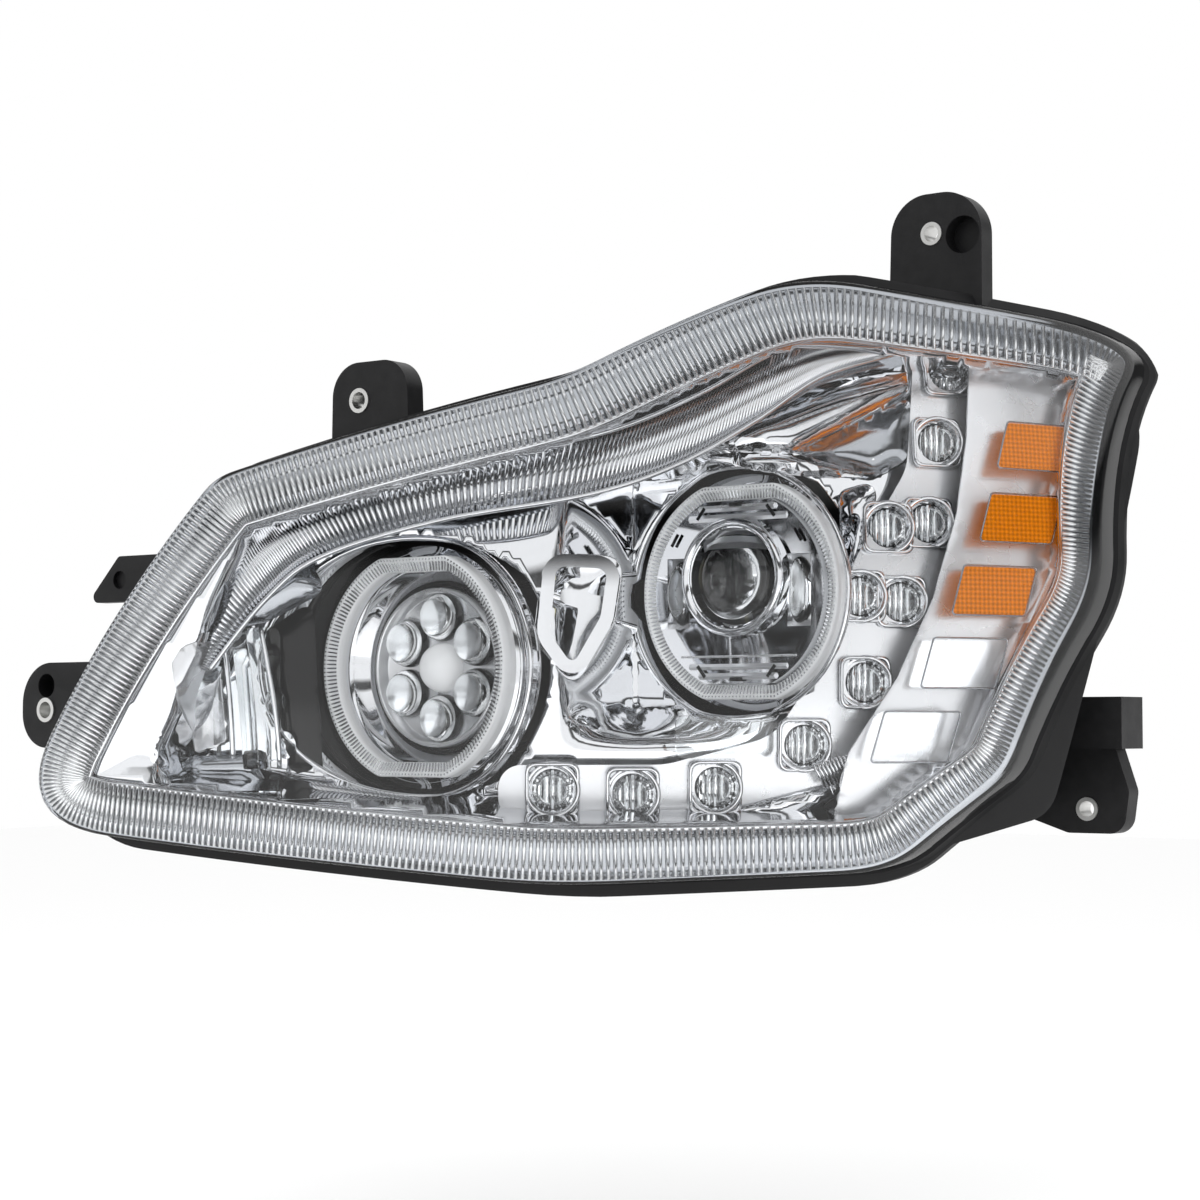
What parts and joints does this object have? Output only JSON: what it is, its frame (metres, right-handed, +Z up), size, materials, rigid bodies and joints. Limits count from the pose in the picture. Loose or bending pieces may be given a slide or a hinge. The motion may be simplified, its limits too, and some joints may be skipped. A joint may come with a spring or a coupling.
{
  "type": "vehicle headlight assembly",
  "caption": "Wrap-around LED headlight with two aimed lamps, light rings, turn signal optics, side prisms, chrome bezels and four bolt tabs.",
  "frame": {"origin": "middle of the upper outer mounting sleeve", "axes": "+Z up, the lamps shine towards -Y, +X is the outer side of the vehicle"},
  "size_m": [0.559, 0.5773, 0.458],
  "materials": {
    "housing_black": "satin",
    "clear_lens": "clear polycarbonate",
    "seal_rubber": "matte",
    "chrome_trim": "vacuum metallised",
    "amber_prism": "gloss",
    "clear_optic": "clear moulded",
    "steel_zinc": "zinc plated",
    "cast_alloy": "die cast",
    "tab_black": "satin",
    "nylon_white": "natural"
  },
  "bodies": {
    "shell": {"housing": "housing_black", "lens": "clear_lens", "lens_seal": "seal_rubber", "main_bezel": "chrome_trim", "brow_trim": "chrome_trim", "side_reflector": "chrome_trim", "turn_reflector": "chrome_trim", "teardrop_light_guide": "clear_optic", "corner_light_guide": "clear_optic", "lower_light_guide": "clear_optic", "reflex_upper": "amber_prism", "reflex_middle": "amber_prism", "reflex_lower": "amber_prism", "side_window_upper": "clear_optic", "side_window_lower": "clear_optic", "turn_optic_01": "clear_optic", "turn_optic_02": "clear_optic", "turn_optic_03": "clear_optic", "turn_optic_04": "clear_optic", "turn_optic_05": "clear_optic", "turn_optic_06": "clear_optic", "turn_optic_07": "clear_optic", "turn_optic_08": "clear_optic", "turn_optic_09": "clear_optic", "turn_optic_10": "clear_optic", "turn_optic_11": "clear_optic", "upper_outer_tab": "tab_black", "upper_inner_tab": "tab_black", "lower_inner_ear": "tab_black", "lower_outer_bracket": "tab_black", "left_tab": "tab_black", "upper_outer_sleeve": "steel_zinc", "upper_inner_sleeve": "steel_zinc", "lower_inner_sleeve": "steel_zinc", "lower_outer_sleeve": "steel_zinc", "driver_module": "cast_alloy", "wiring_receptacle": "tab_black", "vent_cap": "tab_black", "low_yoke": "tab_black", "high_yoke": "tab_black"},
    "low_beam": {"low_barrel": "chrome_trim", "low_halo": "clear_optic", "low_heat_sink": "cast_alloy", "low_louvre": "chrome_trim", "low_lens": "clear_optic", "low_lens_ring": "chrome_trim", "low_side_optic_left": "clear_optic", "low_side_optic_right": "clear_optic"},
    "high_beam": {"high_barrel": "chrome_trim", "high_halo": "clear_optic", "high_heat_sink": "cast_alloy", "high_optic": "clear_optic", "high_optic_ring": "chrome_trim"},
    "low_screw_body": {"low_aim_screw": "steel_zinc"},
    "low_nut_body": {"low_aim_nut": "nylon_white"},
    "low_cap_body": {"low_cap": "tab_black"},
    "high_screw_body": {"high_aim_screw": "steel_zinc"},
    "high_nut_body": {"high_aim_nut": "nylon_white"},
    "high_cap_body": {"high_cap": "tab_black"}
  },
  "joints": [
    {"name": "low_beam_aim", "type": "hinge", "parent": "shell", "child": "low_beam", "pos_m": [-0.06, -0.093, -0.243], "axis": [1, 0, 0], "range_deg": [-3, 3]},
    {"name": "low_nut_travel", "type": "slide", "parent": "shell", "child": "low_nut_body", "axis": [0, 1, 0], "range_m": [-0.0048, 0.0048]},
    {"name": "low_screw_turn", "type": "hinge", "parent": "shell", "child": "low_screw_body", "pos_m": [-0.06, -0.093, -0.331], "axis": [0, 1, 0], "range_deg": [-880, 880]},
    {"name": "low_cap_twist", "type": "hinge", "parent": "shell", "child": "low_cap_body", "pos_m": [-0.10414, -0.00624, -0.231], "axis": [-0.5878, 0.809, 0], "range_deg": [0, 35]},
    {"name": "high_beam_aim", "type": "hinge", "parent": "shell", "child": "high_beam", "pos_m": [-0.202, -0.242, -0.291], "axis": [1, 0, 0], "range_deg": [-3, 3]},
    {"name": "high_nut_travel", "type": "slide", "parent": "shell", "child": "high_nut_body", "axis": [0, 1, 0], "range_m": [-0.0048, 0.0048]},
    {"name": "high_screw_turn", "type": "hinge", "parent": "shell", "child": "high_screw_body", "pos_m": [-0.202, -0.242, -0.379], "axis": [0, 1, 0], "range_deg": [-880, 880]},
    {"name": "high_cap_twist", "type": "hinge", "parent": "shell", "child": "high_cap_body", "pos_m": [-0.26794, -0.12525, -0.279], "axis": [-0.5878, 0.809, 0], "range_deg": [0, 35]}
  ],
  "couplings": [
    {"joint": "low_nut_travel", "follows": "low_beam_aim", "m_per_rad": 0.088},
    {"joint": "low_screw_turn", "follows": "low_beam_aim", "ratio": -276.46},
    {"joint": "high_nut_travel", "follows": "high_beam_aim", "m_per_rad": 0.088},
    {"joint": "high_screw_turn", "follows": "high_beam_aim", "ratio": -276.46}
  ]
}
